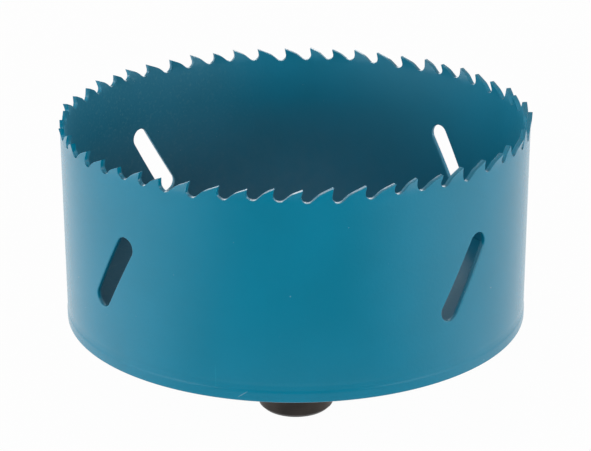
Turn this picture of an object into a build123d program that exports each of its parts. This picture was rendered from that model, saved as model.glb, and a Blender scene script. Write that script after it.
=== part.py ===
from build123d import *
from bisect import bisect_right
from math import asin, atan2, cos, degrees, pi, radians, sin, tan
import os

# Bi-metal hole saw, 105 mm, standing on its quick-change adaptor with the teeth up.
# The origin is the centre of the adaptor's end face and +Z points towards the teeth.
# A toothed strip is rolled into the cup's wall, a thick disc is welded into its back end, and the
# adaptor is bolted through the disc with a washer and a thin nut. All sizes are in millimetres.

# Cup wall
cup_diameter = 105.0
cup_height = 46.9  # back edge to tooth tips
wall = 1.12
edge_round = 0.3  # worn round on the back edge

# Teeth: one group of variable pitches, counted from the straight raker tooth, and the set of each
group_pitches = (6.08, 5.47, 5.75, 6.34, 6.78)
group_sets = ("straight", "out", "in", "out", "in")
out_set = 0.6
in_set = 0.4
rake_angle = 12.0
relief_angle = 22.6
ramp_angle = 41.0
root_radius = 1.3
gullet_ratio = 0.455  # gullet depth over the pitch that it fills
bend_share = 0.9  # height of the bent part over the shallowest gullet's depth

# The wall is rolled from two lengths of milled strip. Each runs from one weld seam to the next and
# starts at its own place in the pitch pattern, so the gullet over a seam has an odd pitch.
seam_angles = (3.2, 176.1)  # degrees from +X
run_first_teeth = (1, 4)
run_lead_ins = (3.74, 2.58)  # seam to the run's first tip
seam_land = 2.0  # least distance from a run's last tip to the next seam

# Clearing slots, cut through the wall and leaning the way the teeth point
slot_count = 4
slot_width = 4.63
slot_length = 20.05
slot_lean = 31.0
slot_centre_height = 22.5  # above the back edge
slot_start_angle = -47.4

# Back disc
disc_thickness = 6.0
pin_count = 2
pin_circle_diameter = 31.75
pin_diameter = 6.0
pin_clearance = 0.2  # radial, in the disc's holes
pin_standback = 0.6  # pin's end below the disc's inner face

# Quick-change adaptor
adaptor_reach = 25.2  # end face to the disc
body_diameter = 17.6
end_chamfer = 0.95
groove_start = 8.0  # above the end face
groove_width = 4.0
groove_depth = 1.4
collar_diameter = 42.0
collar_thickness = 5.0
collar_chamfer = 0.8
stud_diameter = 15.875
stud_clearance = 0.05  # radial, in the disc and the washer
stud_stand_out = 1.5  # past the nut
socket_flats = 11.2
socket_depth = 18.0
socket_mouth_chamfer = 0.5
pilot_bore = 8.2

# Washer and nut
washer_diameter = 25.0
washer_thickness = 2.0
nut_flats = 23.8
nut_thickness = 7.9

# Worked out from the sizes above
cup_radius = cup_diameter / 2
bore_radius = cup_radius - wall
back_z = adaptor_reach
tip_z = back_z + cup_height
disc_top_z = back_z + disc_thickness
washer_top_z = disc_top_z + washer_thickness
nut_top_z = washer_top_z + nut_thickness
stud_end_z = nut_top_z + stud_stand_out
pin_radius = pin_diameter / 2
pin_circle_radius = pin_circle_diameter / 2
bend_drop = bend_share * gullet_ratio * min(group_pitches)
bend_z = tip_z - bend_drop


def tangent_plane(angle, height):
    """Plane on the cup's axis, facing outwards at an angle in degrees: x runs round, y runs up."""
    outward = Vector(cos(radians(angle)), sin(radians(angle)), 0)
    round_the_cup = Vector(-sin(radians(angle)), cos(radians(angle)), 0)
    return Plane(origin=(0, 0, height), x_dir=round_the_cup, z_dir=outward)


def ring(points):
    """Solid of revolution about Z, from (radius, height) corners."""
    outline = Polyline(*points, close=True)
    return revolve(Plane.XZ * make_face(outline), Axis.Z)


def tooth_tips():
    """Angle in radians and set of every tooth, in order round the cup from the first seam."""
    tips = []
    seams = [radians(a) for a in seam_angles]
    ends = seams[1:] + [seams[0] + 2 * pi]
    for seam, end, first, lead_in in zip(seams, ends, run_first_teeth, run_lead_ins):
        place = first
        angle = seam + lead_in / cup_radius
        while (end - angle) * cup_radius > seam_land:
            step = place % len(group_pitches)
            tips.append((angle, group_sets[step]))
            angle += group_pitches[step] / cup_radius
            place += 1
    return tips


def gullet(tip, next_tip):
    """Cutter for the space in front of one tooth: rake face, round root, ramp and relief face.

    It is drawn flat with the tips at height 0, in line with the root's centre, and pushed
    straight out through the wall. Returns the cutter and the angle of its root's centre.
    """
    rake = radians(rake_angle)
    relief = radians(relief_angle)
    ramp = radians(ramp_angle)
    depth = gullet_ratio * (next_tip - tip) * cup_radius
    root_z = root_radius - depth
    lead = (root_radius + root_z * sin(rake)) / cos(rake)
    centre = tip + asin(lead / cup_radius)

    def on_flat(angle):
        return cup_radius * sin(angle - centre)

    start = on_flat(tip)
    end = on_flat(next_tip)
    overshoot = wall
    above = 2 * overshoot
    arc_start = (-root_radius * cos(rake), root_z + root_radius * sin(rake))
    arc_middle = (0, -depth)
    arc_end = (root_radius * sin(ramp), root_z - root_radius * cos(ramp))
    # The ramp and the relief face meet where both lines have the same height.
    knee_x = (arc_end[1] - arc_end[0] * tan(ramp) + end * tan(relief)) / (tan(relief) - tan(ramp))
    knee = (knee_x, (knee_x - end) * tan(relief))
    past_tip = (end + overshoot, overshoot * tan(relief))
    outline = [
        Line((start + above * tan(rake), above), arc_start),
        ThreePointArc(arc_start, arc_middle, arc_end),
        Line(arc_end, knee),
        Line(knee, past_tip),
        Line(past_tip, (past_tip[0], above)),
        Line((past_tip[0], above), (start + above * tan(rake), above)),
    ]
    face = tangent_plane(degrees(centre), tip_z) * make_face(outline)
    inner_reach = bore_radius - 2 * in_set - wall
    outer_reach = cup_radius + 2 * out_set + wall
    across = tangent_plane(degrees(centre), tip_z).z_dir
    return extrude(Pos(across * inner_reach) * face, outer_reach - inner_reach, dir=across), centre


def toothed_shell():
    """Cup wall: plain band, slots, gullets, and teeth set straight, out and in by turns."""
    stem = ring([
        (bore_radius, back_z),
        (cup_radius - edge_round, back_z),
        (cup_radius, back_z + edge_round),
        (cup_radius, bend_z),
        (bore_radius, bend_z),
    ])
    slot_face = SlotOverall(slot_length, slot_width, rotation=90 - slot_lean)
    for k in range(slot_count):
        plane = tangent_plane(slot_start_angle + k * 360 / slot_count, back_z + slot_centre_height)
        stem -= extrude(plane * slot_face, 2 * cup_radius)

    tips = tooth_tips()
    following = [angle for angle, _ in tips[1:]] + [tips[0][0] + 2 * pi]
    cutters = []
    root_angles = []
    for (angle, _), next_angle in zip(tips, following):
        cutter, root_angle = gullet(angle, next_angle)
        cutters.append(cutter)
        root_angles.append(root_angle)

    stem = stem.cut(*cutters)
    teeth = []
    blank_top = tip_z + wall
    lean_rate = (blank_top - bend_z) / bend_drop
    for kind, lean in (("straight", 0), ("out", out_set), ("in", -in_set)):
        shift = lean * lean_rate
        blank = ring([
            (bore_radius, bend_z),
            (cup_radius, bend_z),
            (cup_radius + shift, blank_top),
            (bore_radius + shift, blank_top),
        ])
        for piece in blank.cut(*cutters).solids():
            middle = piece.center()
            past_first_root = (atan2(middle.Y, middle.X) - root_angles[0]) % (2 * pi)
            place = bisect_right(root_angles, root_angles[0] + past_first_root)
            if tips[place % len(tips)][1] == kind:
                teeth.append(piece)
    return stem.fuse(*teeth)


def back_disc():
    """Thick disc welded into the wall's back end, with a stud hole and a hole for each drive pin."""
    disc = Pos(0, 0, back_z) * extrude(Circle(bore_radius), disc_thickness)
    disc -= Pos(0, 0, back_z) * extrude(Circle(stud_diameter / 2 + stud_clearance), disc_thickness)
    holes = Sketch() + PolarLocations(pin_circle_radius, pin_count) * Circle(pin_radius + pin_clearance)
    disc -= Pos(0, 0, back_z) * extrude(holes, disc_thickness)
    return disc


def drive_pins():
    """Two dowels pressed into blind holes in the collar, opposite each other."""
    length = collar_thickness / 2 + disc_thickness - pin_standback
    ends = Sketch() + PolarLocations(pin_circle_radius, pin_count) * Circle(pin_radius)
    return Pos(0, 0, back_z - collar_thickness / 2) * extrude(ends, length)


def quick_change_adaptor():
    """Turned adaptor: grooved body, drive collar, and a stud; a hex socket and a pilot bore."""
    body = body_diameter / 2
    groove_root = body - groove_depth
    groove_end = groove_start + groove_width
    collar = collar_diameter / 2
    collar_z = back_z - collar_thickness
    stud = stud_diameter / 2
    adaptor = ring([
        (0, 0),
        (body - end_chamfer, 0),
        (body, end_chamfer),
        (body, groove_start),
        (groove_root, groove_start),
        (groove_root, groove_end),
        (body, groove_end),
        (body, collar_z),
        (collar - collar_chamfer, collar_z),
        (collar, collar_z + collar_chamfer),
        (collar, back_z),
        (stud, back_z),
        (stud, stud_end_z),
        (0, stud_end_z),
    ])
    socket = RegularPolygon(socket_flats / 2, 6, major_radius=False)
    mouth = RegularPolygon(socket_flats / 2 + socket_mouth_chamfer, 6, major_radius=False)
    adaptor -= extrude(socket, socket_depth)
    adaptor -= loft([mouth.face(), Pos(0, 0, socket_mouth_chamfer) * socket.face()])
    adaptor -= extrude(Circle(pilot_bore / 2), stud_end_z)
    pin_seats = Sketch() + PolarLocations(pin_circle_radius, pin_count) * Circle(pin_radius)
    adaptor -= Pos(0, 0, back_z) * extrude(pin_seats, -collar_thickness / 2)
    return adaptor


def lock_washer():
    """Plain hardened washer on the stud, inside the cup."""
    washer = Circle(washer_diameter / 2) - Circle(stud_diameter / 2 + stud_clearance)
    return Pos(0, 0, disc_top_z) * extrude(washer, washer_thickness)


def lock_nut():
    """Thin hexagon nut on the stud."""
    hexagon = RegularPolygon(nut_flats / 2, 6, major_radius=False) - Circle(stud_diameter / 2)
    return Pos(0, 0, washer_top_z) * extrude(hexagon, nut_thickness)


pieces = {
    "toothed_shell": toothed_shell(),
    "back_disc": back_disc(),
    "quick_change_adaptor": quick_change_adaptor(),
    "drive_pins": drive_pins(),
    "lock_washer": lock_washer(),
    "lock_nut": lock_nut(),
}
os.makedirs("parts", exist_ok=True)
for name, shape in pieces.items():
    export_step(shape, f"parts/{name}.step")
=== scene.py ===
import math

import bmesh
import bpy
import numpy as np
from mathutils import Matrix, Vector


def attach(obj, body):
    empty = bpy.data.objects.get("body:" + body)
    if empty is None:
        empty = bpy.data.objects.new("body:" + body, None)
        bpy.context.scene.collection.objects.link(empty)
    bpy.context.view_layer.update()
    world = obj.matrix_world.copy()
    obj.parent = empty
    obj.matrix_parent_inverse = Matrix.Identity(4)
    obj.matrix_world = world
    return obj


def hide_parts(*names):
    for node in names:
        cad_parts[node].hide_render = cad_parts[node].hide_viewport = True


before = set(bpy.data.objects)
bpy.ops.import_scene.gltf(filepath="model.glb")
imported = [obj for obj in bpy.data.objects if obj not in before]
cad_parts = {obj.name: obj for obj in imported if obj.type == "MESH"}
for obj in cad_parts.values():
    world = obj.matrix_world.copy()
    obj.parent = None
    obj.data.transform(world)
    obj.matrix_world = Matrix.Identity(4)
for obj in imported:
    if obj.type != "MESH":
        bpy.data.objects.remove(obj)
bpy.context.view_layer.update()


# ---- Toothed shell -------------------------------------------------------------------------
# The cup's wall: bi-metal saw strip, milled with teeth and slots, its teeth set by turns straight,
# out and in. It is rolled round, butt-welded at two seams and sprayed teal inside and out.

MM = 0.001

cup_radius = 52.5 * MM
girth = 2 * math.pi * cup_radius
wall = 1.12 * MM
back_edge = 25.2 * MM  # height of the wall's back edge over the adaptor's end face
tip_height = back_edge + 46.9 * MM

group_pitches = np.array([6.08, 5.47, 5.75, 6.34, 6.78]) * MM
group_sets = np.array([0.0, 0.6, -0.4, 0.6, -0.4]) * MM
rake = math.radians(12.0)
relief = math.radians(22.6)
ramp = math.radians(41.0)
root_radius = 1.3 * MM
gullet_ratio = 0.455
bend_drop = 0.9 * gullet_ratio * group_pitches.min()
bend_softness = 0.6  # length of the bend's curve over bend_drop
knee_blend = 0.8 * MM  # from where ramp and relief face would meet to each end of their curve
handover = (0.8, 0.9)  # start and span, in radians round the root, between two teeth's sets

# Points of the outline: shares of the way down a rake face and up a relief face, and the numbers
# of points round a root and along a curve.
rake_shares = np.array([[0.0, 0.3, 0.65]])
relief_shares = np.array([[0.35, 0.72]])
root_steps = 10
curve_steps = 5
rim_round = 0.05 * MM
round_steps = 4

# Each strip: the angle of its first weld seam, its first tooth in the group, and seam to first tip.
strips = [(math.radians(3.2), 1, 3.74 * MM), (math.radians(176.1), 4, 2.58 * MM)]
seam_land = 2.0 * MM

# The rim's grid ends on a straight line below the gullets. Its columns lean more than the rake
# faces do, so that none of them cross on the way down.
rim_base = tip_height - 4.2 * MM
column_lean = math.tan(math.radians(20))
row_shares = np.array([1, 0.76, 0.54, 0.34, 0.17, 0.05])[:, None]

slot_width = 4.63 * MM
slot_length = 20.05 * MM
slot_lean = math.radians(31.0)
slot_height = back_edge + 22.5 * MM
first_slot = math.radians(-47.4)
slot_round = 0.22 * MM
slot_rows = 15
slot_crowding = 1.25  # over 1 draws the rows together near the slot
last_slot_row = 0.006
side_steps, low_steps = 20, 60  # columns along each side and the bottom of a slot's block

band_top = back_edge + 4.6 * MM  # where the slots' blocks stand on the back band
band_rows = 22
band_height = 2.4 * MM
band_proud = 0.10 * MM
band_softness = 0.08 * MM
band_fade = 0.3 * MM
neck_height = 3.7 * MM
neck_depth = 0.03 * MM
neck_width = 0.45 * MM
edge_round = 0.3 * MM


def tooth_tips():
    """Place along the rim and set of every tooth: seam + lead-in + the sum of the pitches before.

    A strip ends with the last tip that is more than seam_land short of the next seam.
    """
    most_teeth = 60
    places = []
    sets = []
    ends = [strips[1][0], strips[0][0] + 2 * math.pi]
    for (seam, first, lead_in), end in zip(strips, ends):
        steps = (first + np.arange(most_teeth)) % len(group_pitches)
        along = seam * cup_radius + lead_in + np.append(0, np.cumsum(group_pitches[steps])[:-1])
        fits = end * cup_radius - along > seam_land
        places.append(along[fits])
        sets.append(group_sets[steps[fits]])
    return np.concatenate(places), np.concatenate(sets)


def rim_outline(tips, sets):
    """The edge of the teeth, unrolled: u along the rim, z from the tips, and each point's set.

    Every gullet is a straight rake face, a round root, a ramp and a relief face. The ramp and
    the relief face meet in a quadratic curve whose corner is where their lines cross. The set
    goes from one tooth's to the next's round the root, by the smooth step 3 s^2 - 2 s^3.
    """
    following = np.append(tips[1:], tips[0] + girth)[:, None]
    set_after = np.append(sets[1:], sets[0])[:, None]
    tips, sets = tips[:, None], sets[:, None]
    depth = gullet_ratio * (following - tips)
    root_z = root_radius - depth
    root_u = tips + (root_radius + root_z * math.sin(rake)) / math.cos(rake)

    turn = np.linspace(math.pi - rake, 1.5 * math.pi + ramp, root_steps)[None, :]
    arc_u = root_u + root_radius * np.cos(turn)
    arc_z = root_z + root_radius * np.sin(turn)

    rake_u = tips + (arc_u[:, :1] - tips) * rake_shares
    rake_z = arc_z[:, :1] * rake_shares

    rise = arc_z[:, -1:] - math.tan(ramp) * arc_u[:, -1:] + math.tan(relief) * following
    knee_u = rise / (math.tan(relief) - math.tan(ramp))
    knee_z = (knee_u - following) * math.tan(relief)
    before = (knee_u - knee_blend * math.cos(ramp), knee_z - knee_blend * math.sin(ramp))
    after = (knee_u + knee_blend * math.cos(relief), knee_z + knee_blend * math.sin(relief))
    t = np.linspace(0, 1, curve_steps)[None, :]
    knee_curve = [
        (1 - t) ** 2 * b + 2 * t * (1 - t) * k + t**2 * a
        for b, k, a in zip(before, (knee_u, knee_z), after)
    ]
    relief_u = after[0] + (following - after[0]) * relief_shares
    relief_z = after[1] * (1 - relief_shares)

    u = np.hstack([rake_u, arc_u, knee_curve[0], relief_u])
    z = np.hstack([rake_z, arc_z, knee_curve[1], relief_z])
    share = np.clip((turn - math.pi - handover[0]) / handover[1], 0, 1)
    share = share**2 * (3 - 2 * share)
    past_root = np.ones((1, curve_steps + relief_shares.size))
    share = np.hstack([np.zeros_like(rake_shares), share, past_root])
    return u.ravel(), z.ravel(), (sets + (set_after - sets) * share).ravel()


def outward(u, z):
    """Direction out of the material at each point of the outline: (n1 + n2) / (1 + n1 . n2) of the
    normals before and after it, which is long enough to mitre corners."""
    du = np.diff(np.append(u, u[0] + girth))
    dz = np.diff(np.append(z, z[0]))
    length = np.hypot(du, dz)
    nu, nz = -dz / length, du / length
    nu_before, nz_before = np.roll(nu, 1), np.roll(nz, 1)
    scale = 1 + nu * nu_before + nz * nz_before
    return (nu + nu_before) / scale, (nz + nz_before) / scale


def on_cup(u, z, depth, lean):
    """Rolls flat points up: angle = u / cup_radius and radius = cup_radius - depth + lean * grow.

    grow goes from 0 below the bend to 1 at the tip, straight but for a parabola at the bend.
    """
    h = (z - tip_height) / bend_drop + 1
    soft = np.clip(h + bend_softness / 2, 0, bend_softness)
    grow = soft**2 / (2 * bend_softness) + np.maximum(h - bend_softness / 2, 0)
    radius, angle, height = np.broadcast_arrays(cup_radius - depth + lean * grow, u / cup_radius, z)
    return np.stack([radius * np.cos(angle), radius * np.sin(angle), height], -1)


def grid_faces(rows, columns, closed):
    """Quads between neighbouring rows and columns: points i w + j, i w + k, (i + 1) w + k and
    (i + 1) w + j, with k after j. A closed grid joins its last column to its first."""
    steps = columns if closed else columns - 1
    i, j = np.meshgrid(np.arange(rows - 1), np.arange(steps), indexing="ij")
    k = (j + 1) % columns
    quads = [i * columns + j, i * columns + k, (i + 1) * columns + k, (i + 1) * columns + j]
    return np.stack(quads, -1).reshape(-1, 4)


def solid_mesh(name, grids, sharp_angle=40):
    """One mesh from grids of points (rows, columns, 3), each with a flag for closed columns.

    Points that two grids share are merged, and edges that turn sharply shade as corners.
    """
    merge_within, shortest_edge = 0.002 * MM, 0.0005 * MM
    points = []
    faces = []
    count = 0
    for grid, closed in grids:
        rows, columns = grid.shape[:2]
        points.append(grid.reshape(-1, 3))
        faces.append(grid_faces(rows, columns, closed) + count)
        count += rows * columns
    mesh = bpy.data.meshes.new(name)
    mesh.from_pydata(np.concatenate(points), [], np.concatenate(faces).tolist())
    joined = bmesh.new()
    joined.from_mesh(mesh)
    bmesh.ops.remove_doubles(joined, verts=joined.verts, dist=merge_within)
    bmesh.ops.dissolve_degenerate(joined, edges=joined.edges, dist=shortest_edge)
    bmesh.ops.recalc_face_normals(joined, faces=joined.faces)
    joined.to_mesh(mesh)
    joined.free()
    mesh.shade_smooth()
    mesh.set_sharp_from_angle(angle=math.radians(sharp_angle))
    piece = bpy.data.objects.new(name, mesh)
    bpy.context.scene.collection.objects.link(piece)
    return piece


def rounded(round_radius, depth):
    """(distance from the outline, depth) across a wall's thickness, both its edges rounded by
    r (1 - sin t) back from the outline and r (1 - cos t) into the wall."""
    turn = np.linspace(0, math.pi / 2, round_steps)
    back = round_radius * (1 - np.sin(turn))
    into = round_radius * (1 - np.cos(turn))
    return np.append(back, back[::-1]), np.append(into, depth - into[::-1])


def towards_hole(border, half_line):
    """For points round a hole at 0, 0: the nearest point of its middle line, and the direction from
    there. half_line is half the middle line of a slot, or zeros for a round hole."""
    length = max(half_line @ half_line, 1e-12)  # a round hole's line has none
    nearest = np.clip(border @ half_line / length, -1, 1)[:, None] * half_line
    away = border - nearest
    return nearest, away / np.linalg.norm(away, axis=1)[:, None]


def toothed_shell():
    """The wall in three kinds of grid: the toothed rim, a ring round each slot, and the back band.

    Rim: each column runs from the straight line below the gullets up to its point of the outline,
    over the rounded edge, and down inside. Slots: each row is a share of the way from the slot
    to its block's border. Band: proud of the wall by band_proud / (1 + exp((h - band_height) /
    band_softness)), less a shallow bell curve for the neck above it.
    """
    tips, sets = tooth_tips()
    u, z, lean = rim_outline(tips, sets)
    nu, nz = outward(u, z)
    base_u = u - (z + tip_height - rim_base) * column_lean

    back, depth = rounded(rim_round, wall)
    edge_u, edge_z = u - nu * rim_round, z - nz * rim_round + tip_height
    side_u = edge_u + (base_u - edge_u) * row_shares
    side_z = edge_z + (rim_base - edge_z) * row_shares
    over_u = u - nu * back[:, None]
    over_z = z - nz * back[:, None] + tip_height
    rows_u = np.concatenate([side_u, over_u, side_u[::-1]])
    rows_z = np.concatenate([side_z, over_z, side_z[::-1]])
    flat = np.zeros(len(row_shares))
    rows_depth = np.concatenate([flat, depth, flat + wall])[:, None]
    grids = [(on_cup(rows_u, rows_z, rows_depth, lean), True)]

    axis = np.array([math.sin(slot_lean), math.cos(slot_lean)])
    half_axis = (slot_length - slot_width) / 2
    slot_places = (first_slot + np.arange(4) * math.pi / 2) * cup_radius
    borders = slot_places - girth / 8
    order = np.argsort(base_u % girth)
    columns = (base_u % girth)[order]
    columns = np.concatenate([columns - girth, columns, columns + girth])
    cuts = np.searchsorted(columns, borders)
    cuts = np.append(cuts, cuts[0] + len(u))
    back, depth = rounded(slot_round, wall)
    share = np.linspace(1, 0, slot_rows)[:-1] ** slot_crowding
    share = np.append(share, last_slot_row)[:, None, None]
    for k, place in enumerate(slot_places):
        top = columns[cuts[k]:cuts[k + 1] + 1]
        low = np.linspace(borders[k], borders[k] + girth / 4, low_steps + 1)
        up = np.linspace(0, 1, side_steps + 1)
        border_u = np.concatenate([
            low, (low[-1] + (top[-1] - low[-1]) * up)[1:], top[::-1][1:],
            (top[0] + (low[0] - top[0]) * up)[1:-1],
        ])
        border_z = np.concatenate([
            np.full(len(low), band_top), (band_top + (rim_base - band_top) * up)[1:],
            np.full(len(top) - 1, rim_base), (rim_base + (band_top - rim_base) * up)[1:-1],
        ])
        border = np.stack([border_u - place, border_z - slot_height], -1)
        nearest, away = towards_hole(border, axis * half_axis)
        edge = nearest + away * (slot_width / 2 + slot_round)
        side = edge + (border - edge) * share
        through = nearest + away * (slot_width / 2 + back[:, None, None])
        rows = np.concatenate([side, through, side[::-1]])
        flat = np.zeros(len(share))
        rows_depth = np.concatenate([flat, depth, flat + wall])[:, None]
        ring = on_cup(rows[..., 0] + place, rows[..., 1] + slot_height, rows_depth, 0)
        grids.append((ring, True))

    h = np.linspace(band_top - back_edge, edge_round, band_rows)
    swell = band_proud / (1 + np.exp((h - band_height) / band_softness))
    swell = swell - neck_depth * np.exp(-(((h - neck_height) / neck_width) ** 2))
    swell = swell * np.clip((band_top - back_edge - h) / band_fade, 0, 1)
    turn = np.linspace(0, math.pi / 2, round_steps + 1)[1:]
    below = band_proud - edge_round * (1 - np.cos(turn))
    swell = np.concatenate([swell, below, [-wall, -wall]])
    h = np.concatenate([h, edge_round * (1 - np.sin(turn)), [0, band_top - back_edge]])
    ring_u = np.linspace(borders[0], borders[0] + girth, 4 * low_steps + 1)[:-1]
    grids.append((on_cup(ring_u[None, :], back_edge + h[:, None], -swell[:, None], 0), True))
    return solid_mesh("shell", grids)


class Value:
    """What a shader node gives: a number, colour or surface. Sums on numbers add Math nodes."""

    def __init__(self, wires, socket):
        self.wires = wires
        self.socket = socket

    def __add__(self, other):
        return self.wires.maths("ADD", self, other)

    def __sub__(self, other):
        return self.wires.maths("SUBTRACT", self, other)

    def __rsub__(self, other):
        return self.wires.maths("SUBTRACT", other, self)

    def __mul__(self, other):
        return self.wires.maths("MULTIPLY", self, other)

    __radd__ = __add__
    __rmul__ = __mul__


class Wiring:
    """Adds nodes to a node tree and joins them up."""

    def __init__(self, tree):
        self.tree = tree

    def node(self, kind, settings=None, inputs=None, output=0):
        """Adds a node of that kind: its settings first, then each socket's value or link."""
        made = self.tree.nodes.new(kind)
        for name, value in (settings or {}).items():
            setattr(made, name, value)
        for socket, value in (inputs or {}).items():
            self.join(made.inputs[socket], value)
        return None if output is None else Value(self, made.outputs[output])

    def join(self, socket, value):
        """Links a Value to the socket, or sets anything else on it."""
        if isinstance(value, Value):
            self.tree.links.new(value.socket, socket)
        else:
            socket.default_value = value

    def maths(self, operation, left, right=0.5):
        """Adds a Math node. An operation on one number takes no notice of the second."""
        return self.node("ShaderNodeMath", {"operation": operation}, {0: left, 1: right})

    def highest(self, left, right):
        return self.maths("MAXIMUM", left, right)

    def clamp(self, value, low, high):
        """0 where the value is at or below low, 1 at or above high, straight between."""
        return self.node(
            "ShaderNodeMapRange",
            {"clamp": True},
            {"Value": value, "From Min": low, "From Max": high},
        )

    def blend(self, share, first, second):
        """first where share is 0 and second where it is 1; both are colours."""
        # A Mix node's number, vector and colour sockets stand in a row: 6 and 7 are colours.
        return self.node("ShaderNodeMix", {"data_type": "RGBA"}, {0: share, 6: first, 7: second}, 2)


class Finish(Wiring):
    """A material with one Principled shader."""

    def __init__(self, name, **constants):
        self.material = bpy.data.materials.new(name)
        self.material.use_nodes = True
        super().__init__(self.material.node_tree)
        self.shader = self.tree.nodes["Principled BSDF"]
        for socket, value in constants.items():
            self.shader.inputs[socket.replace("_", " ")].default_value = value
        self.place = self.node("ShaderNodeTexCoord", output="Object")

    def feed(self, socket, value):
        self.join(self.shader.inputs[socket], value)

    def noise(self, scale, detail=2.0, roughness=0.5, place=None):
        return self.node(
            "ShaderNodeTexNoise",
            inputs={
                "Vector": place or self.place,
                "Scale": scale,
                "Detail": detail,
                "Roughness": roughness,
            },
        )

    def bump(self, height, strength, distance):
        self.feed("Normal", self.node(
            "ShaderNodeBump", inputs={"Height": height, "Strength": strength, "Distance": distance}
        ))

    def coat(self, piece):
        piece.data.materials.clear()
        piece.data.materials.append(self.material)


def teal_paint(name):
    """Semi-gloss teal spray paint: a few specks of dust, a faint run and a scratch low on the
    outside, a grey painted sheen deep in the cup, and painted shade with grit on its left side."""
    teal = (0.0, 0.212, 0.340, 1)
    teal_thick = (0.0, 0.198, 0.315, 1)
    run_teal = (0.01, 0.30, 0.42, 1)
    pale = (0.34, 0.52, 0.58, 1)
    shade_teal = (0.004, 0.135, 0.215, 1)
    grit = (0.08, 0.27, 0.35, 1)
    sheen_grey = (0.27, 0.29, 0.30, 1)
    paint = Finish(name)
    x, y, z = (
        paint.node("ShaderNodeSeparateXYZ", inputs={0: paint.place}, output=axis) for axis in "XYZ"
    )
    middle = cup_radius - wall / 2
    inside_edge = middle - 0.2 * MM
    inside = paint.clamp(x * x + y * y, middle**2, inside_edge**2)
    turn = paint.maths("ARCTAN2", y, x)

    def mark(degrees_round, height, lean, half_length, half_width):
        """1 on a thin straight mark on the wall's outside, fading at its sides and ends."""
        lean = math.radians(lean)
        u, v = (turn - math.radians(degrees_round)) * cup_radius, z - height
        along = paint.maths("ABSOLUTE", u * math.sin(lean) + v * math.cos(lean))
        across = paint.maths("ABSOLUTE", u * math.cos(lean) - v * math.sin(lean))
        thin = paint.clamp(across, half_width * 1.5, half_width * 0.5)
        return thin * paint.clamp(along, half_length * 1.2, half_length * 0.5) * (1 - inside)

    drift = paint.clamp(paint.noise(60, 3), 0.35, 0.65)
    colour = paint.blend(drift, teal, teal_thick)
    run = mark(-108.6, 30.2 * MM, 0, 2.5 * MM, 0.12 * MM)
    scratch = mark(-102.2, 26.7 * MM, 55, 1.2 * MM, 0.06 * MM)
    colour = paint.blend(run * 0.4, colour, run_teal)
    colour = paint.blend(scratch * 0.5, colour, pale)
    specks = paint.clamp(paint.noise(1250, 1), 0.815, 0.84) * 0.7
    colour = paint.blend(specks, colour, pale)
    left_side = inside * paint.clamp(x, -4 * MM, -40 * MM)
    gritty = paint.clamp(paint.noise(1300, 3, 0.6), 0.54, 0.72)
    # Painted shade: the colour darkens towards the cup's left inside; the grit is the paint's own
    # grain.
    colour = paint.blend(left_side * 0.5, colour, shade_teal)
    colour = paint.blend(gritty * left_side * 0.45, colour, grit)
    # Painted sheen: a neutral grey mixed into the colour low in the cup, fading towards its right,
    # stands in for a reflection.
    deep = paint.clamp(z, 60 * MM, 34 * MM) * paint.clamp(x, 50 * MM, 5 * MM)
    painted_sheen = inside * deep * (paint.noise(350, 4) * 0.16 + 0.16)
    paint.feed("Base Color", paint.blend(painted_sheen, colour, sheen_grey))
    paint.feed("Roughness", paint.noise(1500, 2) * 0.08 + 0.18 + inside * 0.25 + left_side * 0.15)
    peel = paint.noise(1400, 2)
    paint.bump(peel * (left_side * 2 + 1), 0.12, 0.2 * MM)
    return paint


shell_paint = teal_paint("teal_paint_on_shell")
shell = toothed_shell()
shell_paint.coat(shell)
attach(shell, "root")
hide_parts("toothed_shell")


# ---- Back disc -----------------------------------------------------------------------------
# A thick blanked steel disc, pressed into the wall's back end, welded round its edge and painted
# with the wall. The stud passes through its middle, and the two drive pins through holes beside it.

disc_radius = cup_radius - wall
disc_top = back_edge + 6.0 * MM
disc_edge = 0.3 * MM  # worn round on the holes' mouths
pin_circle_radius = 15.875 * MM
pin_hole_radius = 3.2 * MM
stud_hole_radius = 7.9875 * MM
weld_width = 2.2 * MM
weld_height = 0.3 * MM  # proud of the disc's back face

# Every turned surface has the same steps round, so that neighbouring grids' points meet.
quarter_columns = 60
all_round = np.arange(4 * quarter_columns) * (math.pi / 2 / quarter_columns)
face_rows, hole_rows = 13, 11


def softened(corners):
    """A profile of (radius, height) past corners, each with how far off its curve starts: the
    quadratic (1 - t)^2 before + 2 t (1 - t) corner + t^2 after."""
    corners = np.array(corners)
    place, cut = corners[:, :2], corners[1:-1, 2:]
    way = np.diff(place, axis=0)
    way /= np.linalg.norm(way, axis=1)[:, None]
    before = (place[1:-1] - way[:-1] * cut)[:, None]
    after = (place[1:-1] + way[1:] * cut)[:, None]
    t = np.linspace(0, 1, curve_steps)[None, :, None]
    curve = (1 - t) ** 2 * before + 2 * t * (1 - t) * place[1:-1, None] + t**2 * after
    profile = np.concatenate([place[:1], curve.reshape(-1, 2), place[-1:]])
    return profile[:, 0], profile[:, 1]


def turned(radius, height):
    """Points (r cos t, r sin t, height) of a turned surface, and True for closed. Radius and height
    have a row for each ring, with one column or a column for every step round."""
    radius, height, turn = np.broadcast_arrays(radius, height, all_round[None, :])
    return np.stack([radius * np.cos(turn), radius * np.sin(turn), height], -1), True


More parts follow.
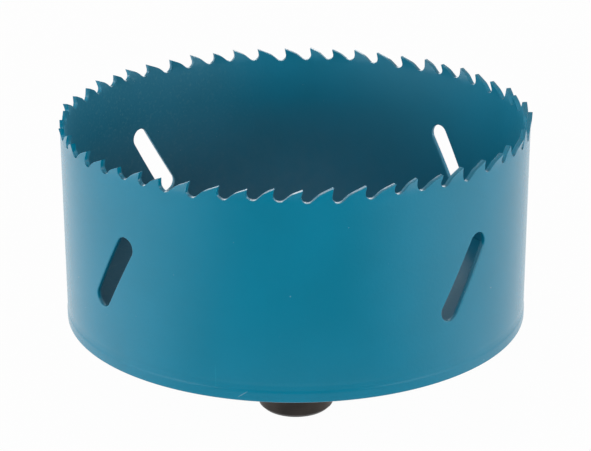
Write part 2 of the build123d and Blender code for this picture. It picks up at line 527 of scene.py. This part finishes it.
def drilled_face(inner, outer, height, hole_radius, hole_height):
    """A flat ring with a hole at each side, in quarters: two round the holes, two plain between.

    A hole's quarter has its rows from the quarter's border in to the hole's mouth, each a share of
    the way, and on down the hole by (hole_radius, hole_height). A plain quarter is
    (r cos t, r sin t, height). The borders' points match those of turned().
    """
    turn = np.radians(np.linspace(-45, 45, quarter_columns + 1))
    reach = np.linspace(outer, inner, face_rows)

    def polar(radius, angle):
        return np.stack(np.broadcast_arrays(radius * np.cos(angle), radius * np.sin(angle)), -1)

    border = np.concatenate([
        polar(outer, turn),
        polar(reach[1:], turn[-1]),
        polar(inner, turn[::-1])[1:],
        polar(reach[::-1][1:-1], turn[0]),
    ])
    centre = np.array([pin_circle_radius, 0])
    _, away = towards_hole(border - centre, np.zeros(2))
    share = np.linspace(1, 0, hole_rows)[:-1, None, None]
    mouth = centre + away * hole_radius[0]
    flat = mouth + (border - mouth) * share
    down = centre + away * hole_radius[:, None, None]
    rows = np.concatenate([flat, down])
    heights = np.append(np.full(len(share), height), hole_height)
    heights = np.broadcast_to(heights[:, None, None], rows.shape[:2] + (1,))
    drilled = np.concatenate([rows, heights], -1)
    plain = polar(reach[:, None], turn + math.pi / 2)
    plain = np.concatenate([plain, np.full(plain.shape[:2] + (1,), height)], -1)
    half_turn = np.array([-1, -1, 1])
    holes = [(drilled, True), (drilled * half_turn, True)]
    return holes + [(plain, False), (plain * half_turn, False)]


def back_disc():
    """The disc: its two faces, the stud's hole, and the rim with a low weld bead at the back."""
    middle = (disc_top + back_edge) / 2
    face_inner = stud_hole_radius + disc_edge
    face_outer = disc_radius - weld_width
    grids = []
    for face, into in ((disc_top, -disc_edge), (back_edge, disc_edge)):
        hole = softened([
            (pin_hole_radius + disc_edge, face, 0),
            (pin_hole_radius, face + into * 0.1, disc_edge * 0.9),
            (pin_hole_radius, middle, 0),
        ])
        grids += drilled_face(face_inner, face_outer, face, *hole)
    bore = softened([
        (face_inner, disc_top, 0),
        (stud_hole_radius, disc_top, disc_edge * 0.95),
        (stud_hole_radius, back_edge, disc_edge * 0.95),
        (face_inner, back_edge, 0),
    ])
    rim = softened([
        (face_outer, disc_top, 0),
        (disc_radius, disc_top, 0.4 * MM),
        (disc_radius, back_edge + 0.2 * MM, 0.2 * MM),
        (disc_radius - 0.3 * weld_width, back_edge - weld_height, 0.5 * MM),
        (disc_radius - 0.7 * weld_width, back_edge - weld_height, 0.5 * MM),
        (face_outer + 0.1 * MM, back_edge, 0.1 * MM),
        (face_outer, back_edge, 0),
    ])
    grids += [turned(bore[0][:, None], bore[1][:, None]), turned(rim[0][:, None], rim[1][:, None])]
    return solid_mesh("disc", grids)


disc_paint = teal_paint("teal_paint_on_disc")
disc = back_disc()
disc_paint.coat(disc)
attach(disc, "root")
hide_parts("back_disc")


# ---- Quick-change adaptor ------------------------------------------------------------------
# One steel bar, turned, heat-treated and blacked in a hot oxide bath, then oiled. A holder locks
# in the body's groove and turns it by its hexagon socket, which is broached. The stud has a fine
# thread, and a pilot drill passes through the bore.

body_radius = 8.8 * MM
groove_start, groove_end = 8.0 * MM, 12.0 * MM
groove_root = body_radius - 1.4 * MM
collar_radius = 21.0 * MM
collar_low = back_edge - 5.0 * MM
stud_radius = 7.9375 * MM
stud_end = 42.6 * MM
thread_pitch = 25.4 * MM / 18
thread_depth = 0.61 * thread_pitch
thread_crest = 0.14  # share of the pitch that is flat
thread_rows = 10  # in each pitch
run_out = 1.2 * MM  # plain neck between the thread and the collar
socket_flats = 11.2 * MM
socket_mouth = socket_flats + 1.0 * MM
socket_depth = 18.0 * MM
bore_radius = 4.1 * MM
pin_seat_depth = 2.5 * MM


def hexagon(across_flats):
    """Radius of a hexagon at every step round, with a corner on the X axis: half the width over
    the cosine of the angle from the flat's middle."""
    return across_flats / 2 / np.cos((all_round % (math.pi / 3)) - math.pi / 6)


def thread_radius(height):
    """Radius of the stud's thread at each height and step round: flat crests and roots, and flanks
    by the smooth step 3 s^2 - 2 s^3 of the way from one to the other."""
    phase = (height[:, None] / thread_pitch - all_round / (2 * math.pi)) % 1
    fall = np.clip((np.abs(2 * phase - 1) - thread_crest) / (1 - 2 * thread_crest), 0, 1)
    return stud_radius - thread_depth * fall * fall * (3 - 2 * fall)


def quick_change_adaptor():
    """The adaptor's outline once round: collar, body, end face, socket, bore, stud and thread; and
    the collar's face with its two pin seats."""
    edge = 0.25 * MM
    outside = softened([
        (collar_radius - edge, back_edge, 0),
        (collar_radius, back_edge, edge * 0.9),
        (collar_radius, collar_low + 0.8 * MM, edge),
        (collar_radius - 0.8 * MM, collar_low, edge),
        (body_radius + 0.5 * MM, collar_low, 0),
        (body_radius, collar_low, 0.45 * MM),
        (body_radius, groove_end, edge),
        (groove_root, groove_end, edge),
        (groove_root, groove_start, edge),
        (body_radius, groove_start, edge),
        (body_radius, 0.95 * MM, edge),
        (body_radius - 0.95 * MM, 0, edge),
        (body_radius - 1.3 * MM, 0, 0),
    ])
    top = softened([
        (bore_radius, stud_end - 1.0 * MM, 0),
        (bore_radius, stud_end - 0.5 * MM, 0.15 * MM),
        (bore_radius + 0.5 * MM, stud_end, 0.15 * MM),
        (stud_radius - thread_depth - 0.1 * MM, stud_end, 0.1 * MM),
        (stud_radius - thread_depth, stud_end - 0.1 * MM, 0),
    ])
    along = np.arange(stud_end - 0.15 * MM, back_edge + run_out, -thread_pitch / thread_rows)
    end_bevel = stud_radius - thread_depth + (stud_end - along)[:, None]
    thread = np.minimum(thread_radius(along), end_bevel)
    neck = softened([
        (stud_radius - thread_depth, back_edge + run_out, 0),
        (stud_radius - thread_depth, back_edge, 0.3 * MM),
        (stud_radius - thread_depth + 0.4 * MM, back_edge, 0),
    ])
    columns = np.ones(len(all_round))
    radius = np.concatenate([
        outside[0][:, None] * columns,
        [hexagon(socket_mouth), hexagon(socket_flats), hexagon(socket_flats)],
        bore_radius * columns[None, :],
        top[0][:, None] * columns,
        thread,
        neck[0][:, None] * columns,
    ])
    middle = [0, 0.5 * MM, socket_depth, socket_depth]
    height = np.concatenate([outside[1], middle, top[1], along, neck[1]])
    seat = softened([
        (3.0 * MM, back_edge, 0),
        (3.0 * MM, back_edge - pin_seat_depth, 0.2 * MM),
        (0, back_edge - pin_seat_depth, 0),
    ])
    grids = drilled_face(neck[0][-1], outside[0][0], back_edge, *seat)
    return solid_mesh("adaptor", grids + [turned(radius, height[:, None])], 30)


def turned_metal(name, dark, light, rings, roughness, metallic):
    """Bare metal off a lathe or grinder: tones drift slowly, and fine rings run round the axis."""
    metal = Finish(name, Metallic=metallic)
    x, y, z = (
        metal.node("ShaderNodeSeparateXYZ", inputs={0: metal.place}, output=axis) for axis in "XYZ"
    )
    out = metal.maths("SQRT", x * x + y * y)
    across = metal.node("ShaderNodeCombineXYZ", inputs={"X": out, "Z": z})
    rings_seen = metal.noise(rings, 2, 0.6, across)
    tone = metal.clamp(metal.noise(220, 4) * 0.6 + rings_seen * 0.4, 0.35, 0.65)
    metal.feed("Base Color", metal.blend(tone, dark, light))
    metal.feed("Roughness", metal.noise(700, 3) * 0.16 + rings_seen * 0.1 + roughness)
    metal.bump(rings_seen, 0.15, 0.05 * MM)
    return metal


black_oxide = turned_metal(
    "black_oxide", (0.014, 0.011, 0.009, 1), (0.034, 0.026, 0.022, 1), 4200, 0.30, 0.6
)
adaptor = quick_change_adaptor()
black_oxide.coat(adaptor)
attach(adaptor, "root")
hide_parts("quick_change_adaptor")


# ---- Drive pins ----------------------------------------------------------------------------
# Two hardened dowels, ground bright, pressed into the adaptor's collar. Their free ends stand in
# the disc's holes, a little below its inner face, and turn the cup with the adaptor.

pin_radius = 3.0 * MM
pin_low = back_edge - pin_seat_depth
pin_top = disc_top - 0.6 * MM


def drive_pins():
    """Both dowels in one mesh: turned, with a small chamfer at each end and slightly domed tops."""
    radius, height = softened([
        (0, pin_low + 0.01 * MM, 0),
        (pin_radius - 0.5 * MM, pin_low + 0.01 * MM, 0.1 * MM),
        (pin_radius, pin_low + 0.5 * MM, 0.1 * MM),
        (pin_radius, pin_top - 0.6 * MM, 0.15 * MM),
        (pin_radius - 0.6 * MM, pin_top - 0.1 * MM, 0.15 * MM),
        (0, pin_top, 0),
    ])
    pin, closed = turned(radius[:, None], height[:, None])
    shift = np.array([pin_circle_radius, 0, 0])
    return solid_mesh("pins", [(pin + shift, closed), (pin - shift, closed)], 30)


ground_steel = turned_metal(
    "ground_steel", (0.46, 0.45, 0.44, 1), (0.60, 0.60, 0.59, 1), 3000, 0.16, 1.0
)
pins = drive_pins()
ground_steel.coat(pins)
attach(pins, "root")
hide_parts("drive_pins")


# ---- Lock washer ---------------------------------------------------------------------------
# A hardened washer, blanked so that its top edges are rolled over, and zinc-plated. It lies on
# the disc round the stud, under the nut.

washer_radius = 12.5 * MM
washer_top = disc_top + 2.0 * MM


def lock_washer():
    """The washer: edges rolled over at the top, and nearly square at the bottom."""
    inner, outer = stud_hole_radius, washer_radius
    middle = (inner + outer) / 2
    radius, height = softened([
        (middle, washer_top, 0),
        (outer, washer_top, 0.45 * MM),
        (outer, disc_top, 0.12 * MM),
        (inner, disc_top, 0.12 * MM),
        (inner, washer_top, 0.4 * MM),
        (middle, washer_top, 0),
    ])
    return solid_mesh("washer", [turned(radius[:, None], height[:, None])], 50)


def zinc_plate(name):
    """Bright zinc plating: cool grey with a fine mottle, and duller in cloudy patches."""
    zinc = Finish(name, Metallic=1.0)
    cloud = zinc.clamp(zinc.noise(140, 3), 0.35, 0.65)
    mottle = zinc.clamp(zinc.noise(1200, 3, 0.7), 0.3, 0.7)
    cool = zinc.blend(mottle, (0.44, 0.46, 0.48, 1), (0.58, 0.60, 0.61, 1))
    zinc.feed("Base Color", zinc.blend(cloud * 0.5, cool, (0.50, 0.49, 0.44, 1)))
    zinc.feed("Roughness", mottle * 0.1 + cloud * 0.08 + 0.24)
    zinc.bump(zinc.noise(1600, 3), 0.12, 0.1 * MM)
    return zinc


plated_steel = zinc_plate("zinc_plate")
washer = lock_washer()
plated_steel.coat(washer)
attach(washer, "root")
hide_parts("lock_washer")


# ---- Lock nut ------------------------------------------------------------------------------
# A thin hexagon nut, cold-formed, tapped, chamfered at 30 degrees on both faces and zinc-plated.
# It is screwed down on the stud and clamps the disc to the adaptor's collar.

nut_flats = 23.8 * MM
nut_top = washer_top + 7.9 * MM
nut_face_radius = 11.35 * MM
nut_corner_cut = 0.12 * MM  # off each corner's radius
nut_bevel = math.tan(math.radians(30))
nut_mouth = stud_radius + 0.25 * MM  # where the thread is bevelled off at both faces
thread_fit = 0.03 * MM
nut_thread_steps = 56


def lock_nut():
    """The nut: a hexagon whose faces are cut by 30 degree cones, which drop by (r - face radius)
    tan 30, and inside it the stud's thread, with a little room."""
    corner = nut_flats / math.sqrt(3) - nut_corner_cut
    side = np.minimum(hexagon(nut_flats), corner)
    drop = (side - nut_face_radius) * nut_bevel
    columns = np.ones(len(all_round))
    along = np.linspace(washer_top, nut_top, nut_thread_steps + 1)
    into = np.minimum(along - washer_top, nut_top - along)[:, None]
    thread = np.maximum(thread_radius(along) + thread_fit, nut_mouth - into)
    edge = 0.1 * MM
    radius = np.concatenate([
        [nut_face_radius * columns, side - edge, side, side, side - edge],
        [nut_face_radius * columns],
        thread,
        [nut_face_radius * columns],
    ])
    slope = edge * nut_bevel
    height = np.concatenate([
        [nut_top * columns, nut_top - drop + slope, nut_top - drop - edge],
        [washer_top + drop + edge, washer_top + drop - slope, washer_top * columns],
        along[:, None] * columns,
        [nut_top * columns],
    ])
    return solid_mesh("nut", [turned(radius, height)], 25)


nut = lock_nut()
plated_steel.coat(nut)
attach(nut, "root")
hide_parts("lock_nut")


# ---- Studio --------------------------------------------------------------------------------
# A pale floor in a white room, soft lamps all round and most of them low, and a dark card that
# lies and stands in front of the saw, where only its reflection shows.

floor_reach = 3.0
floor_white = 0.975  # share of plain white where the floor is looked at
floor_glow = 0.22  # and where it lights the saw from below

# The card goes out along the floor and then up: (radius, height). It is black ahead and fades to
# white at the sides, and turns pale from the first radius of card_fade inwards to the second.
card_path = np.array([(0.058, 0.001), (0.9, 0.001), (0.9, 0.4)])
card_columns = 41
card_black, card_white = math.radians(14), math.radians(80)
card_fade = (0.15, 0.06)
card_pale = 0.7


def as_seen(wires):
    """1 for what is looked at straight, in a reflection or through glass, and 0 for other light."""
    paths = [
        wires.node("ShaderNodeLightPath", output=f"Is {kind} Ray")
        for kind in ("Camera", "Glossy", "Transmission")
    ]
    return wires.highest(wires.highest(paths[0], paths[1]), paths[2])


def staged_sheet(name, rows, shader):
    """A flat or folded sheet of the studio, from a grid of points (rows, columns, 3), at
    (r sin t, -r cos t, z) for the card. shader(wires) returns its surface."""
    faces = grid_faces(*rows.shape[:2], False)
    mesh = bpy.data.meshes.new(name)
    mesh.from_pydata(rows.reshape(-1, 3), [], faces.tolist())
    material = bpy.data.materials.new(name)
    material.use_nodes = True
    wires = Wiring(material.node_tree)
    wires.tree.nodes.clear()
    wires.node("ShaderNodeOutputMaterial", inputs={"Surface": shader(wires)}, output=None)
    mesh.materials.append(material)
    sheet = bpy.data.objects.new(name, mesh)
    bpy.context.scene.collection.objects.link(sheet)
    return sheet


def pale_floor(wires):
    """Matt off-white that takes shadows, mixed with white where it is looked at."""
    matt = wires.node("ShaderNodeBsdfDiffuse", inputs={"Color": (0.8, 0.8, 0.8, 1)})
    white = wires.node("ShaderNodeEmission", inputs={"Strength": 1.0})
    share = as_seen(wires) * (floor_white - floor_glow) + floor_glow
    return wires.node("ShaderNodeMixShader", inputs={0: share, 1: matt, 2: white})


def dark_card(wires):
    """Black in the middle, fading to white at both sides and near the saw, so no edge shows."""
    place = wires.node("ShaderNodeTexCoord", output="Object")
    x, y = (wires.node("ShaderNodeSeparateXYZ", inputs={0: place}, output=axis) for axis in "XY")
    turn = wires.maths("ABSOLUTE", wires.maths("ARCTAN2", x, 0 - y))
    white = wires.node(
        "ShaderNodeMapRange",
        {"interpolation_type": "SMOOTHSTEP"},
        {"Value": turn, "From Min": card_black, "From Max": card_white},
    )
    near = wires.clamp(wires.maths("SQRT", x * x + y * y), *card_fade) * card_pale
    return wires.node("ShaderNodeEmission", inputs={"Strength": wires.highest(white, near)})


floor_corners = np.array([[(-1, -1, 0), (1, -1, 0)], [(-1, 1, 0), (1, 1, 0)]]) * floor_reach
staged_sheet("pale_floor", floor_corners, pale_floor)

card_turn = np.linspace(-card_white, card_white, card_columns)
reach, card_z = card_path.T[:, :, None]
card_points = np.broadcast_arrays(reach * np.sin(card_turn), -reach * np.cos(card_turn), card_z)
card = staged_sheet("dark_card", np.stack(card_points, -1), dark_card)
card.visible_camera = False
card.visible_diffuse = False
card.visible_shadow = False
card.visible_transmission = False

world = bpy.data.worlds.new("white_room")
world.use_nodes = True
room = Wiring(world.node_tree)
room.tree.nodes.clear()
walls = room.node("ShaderNodeBackground", inputs={"Strength": as_seen(room)})
room.node("ShaderNodeOutputWorld", inputs={"Surface": walls}, output=None)
bpy.context.scene.world = world

# Each lamp: degrees round from the front, degrees up, width, height and watts.
lamps = {
    "left_front": (-55, 6, 0.7, 0.5, 6.30),
    "left": (-90, 6, 0.7, 0.5, 4.85),
    "front_high": (-18, 36, 0.6, 0.5, 2.9),
    "right_high": (55, 28, 0.7, 0.5, 0.97),
    "right_front": (55, 6, 0.7, 0.5, 6.79),
    "right": (90, 6, 0.7, 0.5, 2.81),
    "right_back": (130, 6, 0.7, 0.5, 1.36),
    "overhead": (-10, 76, 0.5, 0.5, 1.5),
    "back": (180, 20, 0.9, 0.6, 4.85),
    "left_back": (-135, 6, 0.7, 0.5, 1.16),
}
lamp_distance = 1.2
cup_middle = Vector((0, 0, 0.045))
for name, (turn, rise, width, height, watts) in lamps.items():
    lamp = bpy.data.lights.new(name, "AREA")
    lamp.shape = "RECTANGLE"
    lamp.size, lamp.size_y = width, height
    lamp.energy = watts
    holder = bpy.data.objects.new(name, lamp)
    bpy.context.scene.collection.objects.link(holder)
    turn, rise = math.radians(turn), math.radians(rise)
    flat = math.cos(rise)
    towards = Vector((flat * math.sin(turn), -flat * math.cos(turn), math.sin(rise)))
    holder.location = cup_middle + towards * lamp_distance
    holder.rotation_euler = (-towards).to_track_quat("-Z", "Y").to_euler()
    holder.visible_camera = False


# ---- Camera --------------------------------------------------------------------------------
# A long lens near the saw and 21 degrees above its middle, which it looks at, turned a very
# little in its mount.

camera_distance = 0.46328
camera_rise = 0.3619  # radians over the horizon
camera_roll = -0.0030
looked_at = Vector((0, 0, 0.04478))

eye = bpy.data.cameras.new("camera")
eye.lens = 123.4
eye.sensor_width = 36
camera = bpy.data.objects.new("camera", eye)
bpy.context.scene.collection.objects.link(camera)
back = Vector((0, -math.cos(camera_rise), math.sin(camera_rise)))
camera.location = looked_at + back * camera_distance
aim = (-back).to_track_quat("-Z", "Y").to_matrix() @ Matrix.Rotation(camera_roll, 3, "Z")
camera.rotation_euler = aim.to_euler()
bpy.context.scene.camera = camera
bpy.context.scene.view_settings.view_transform = "Standard"
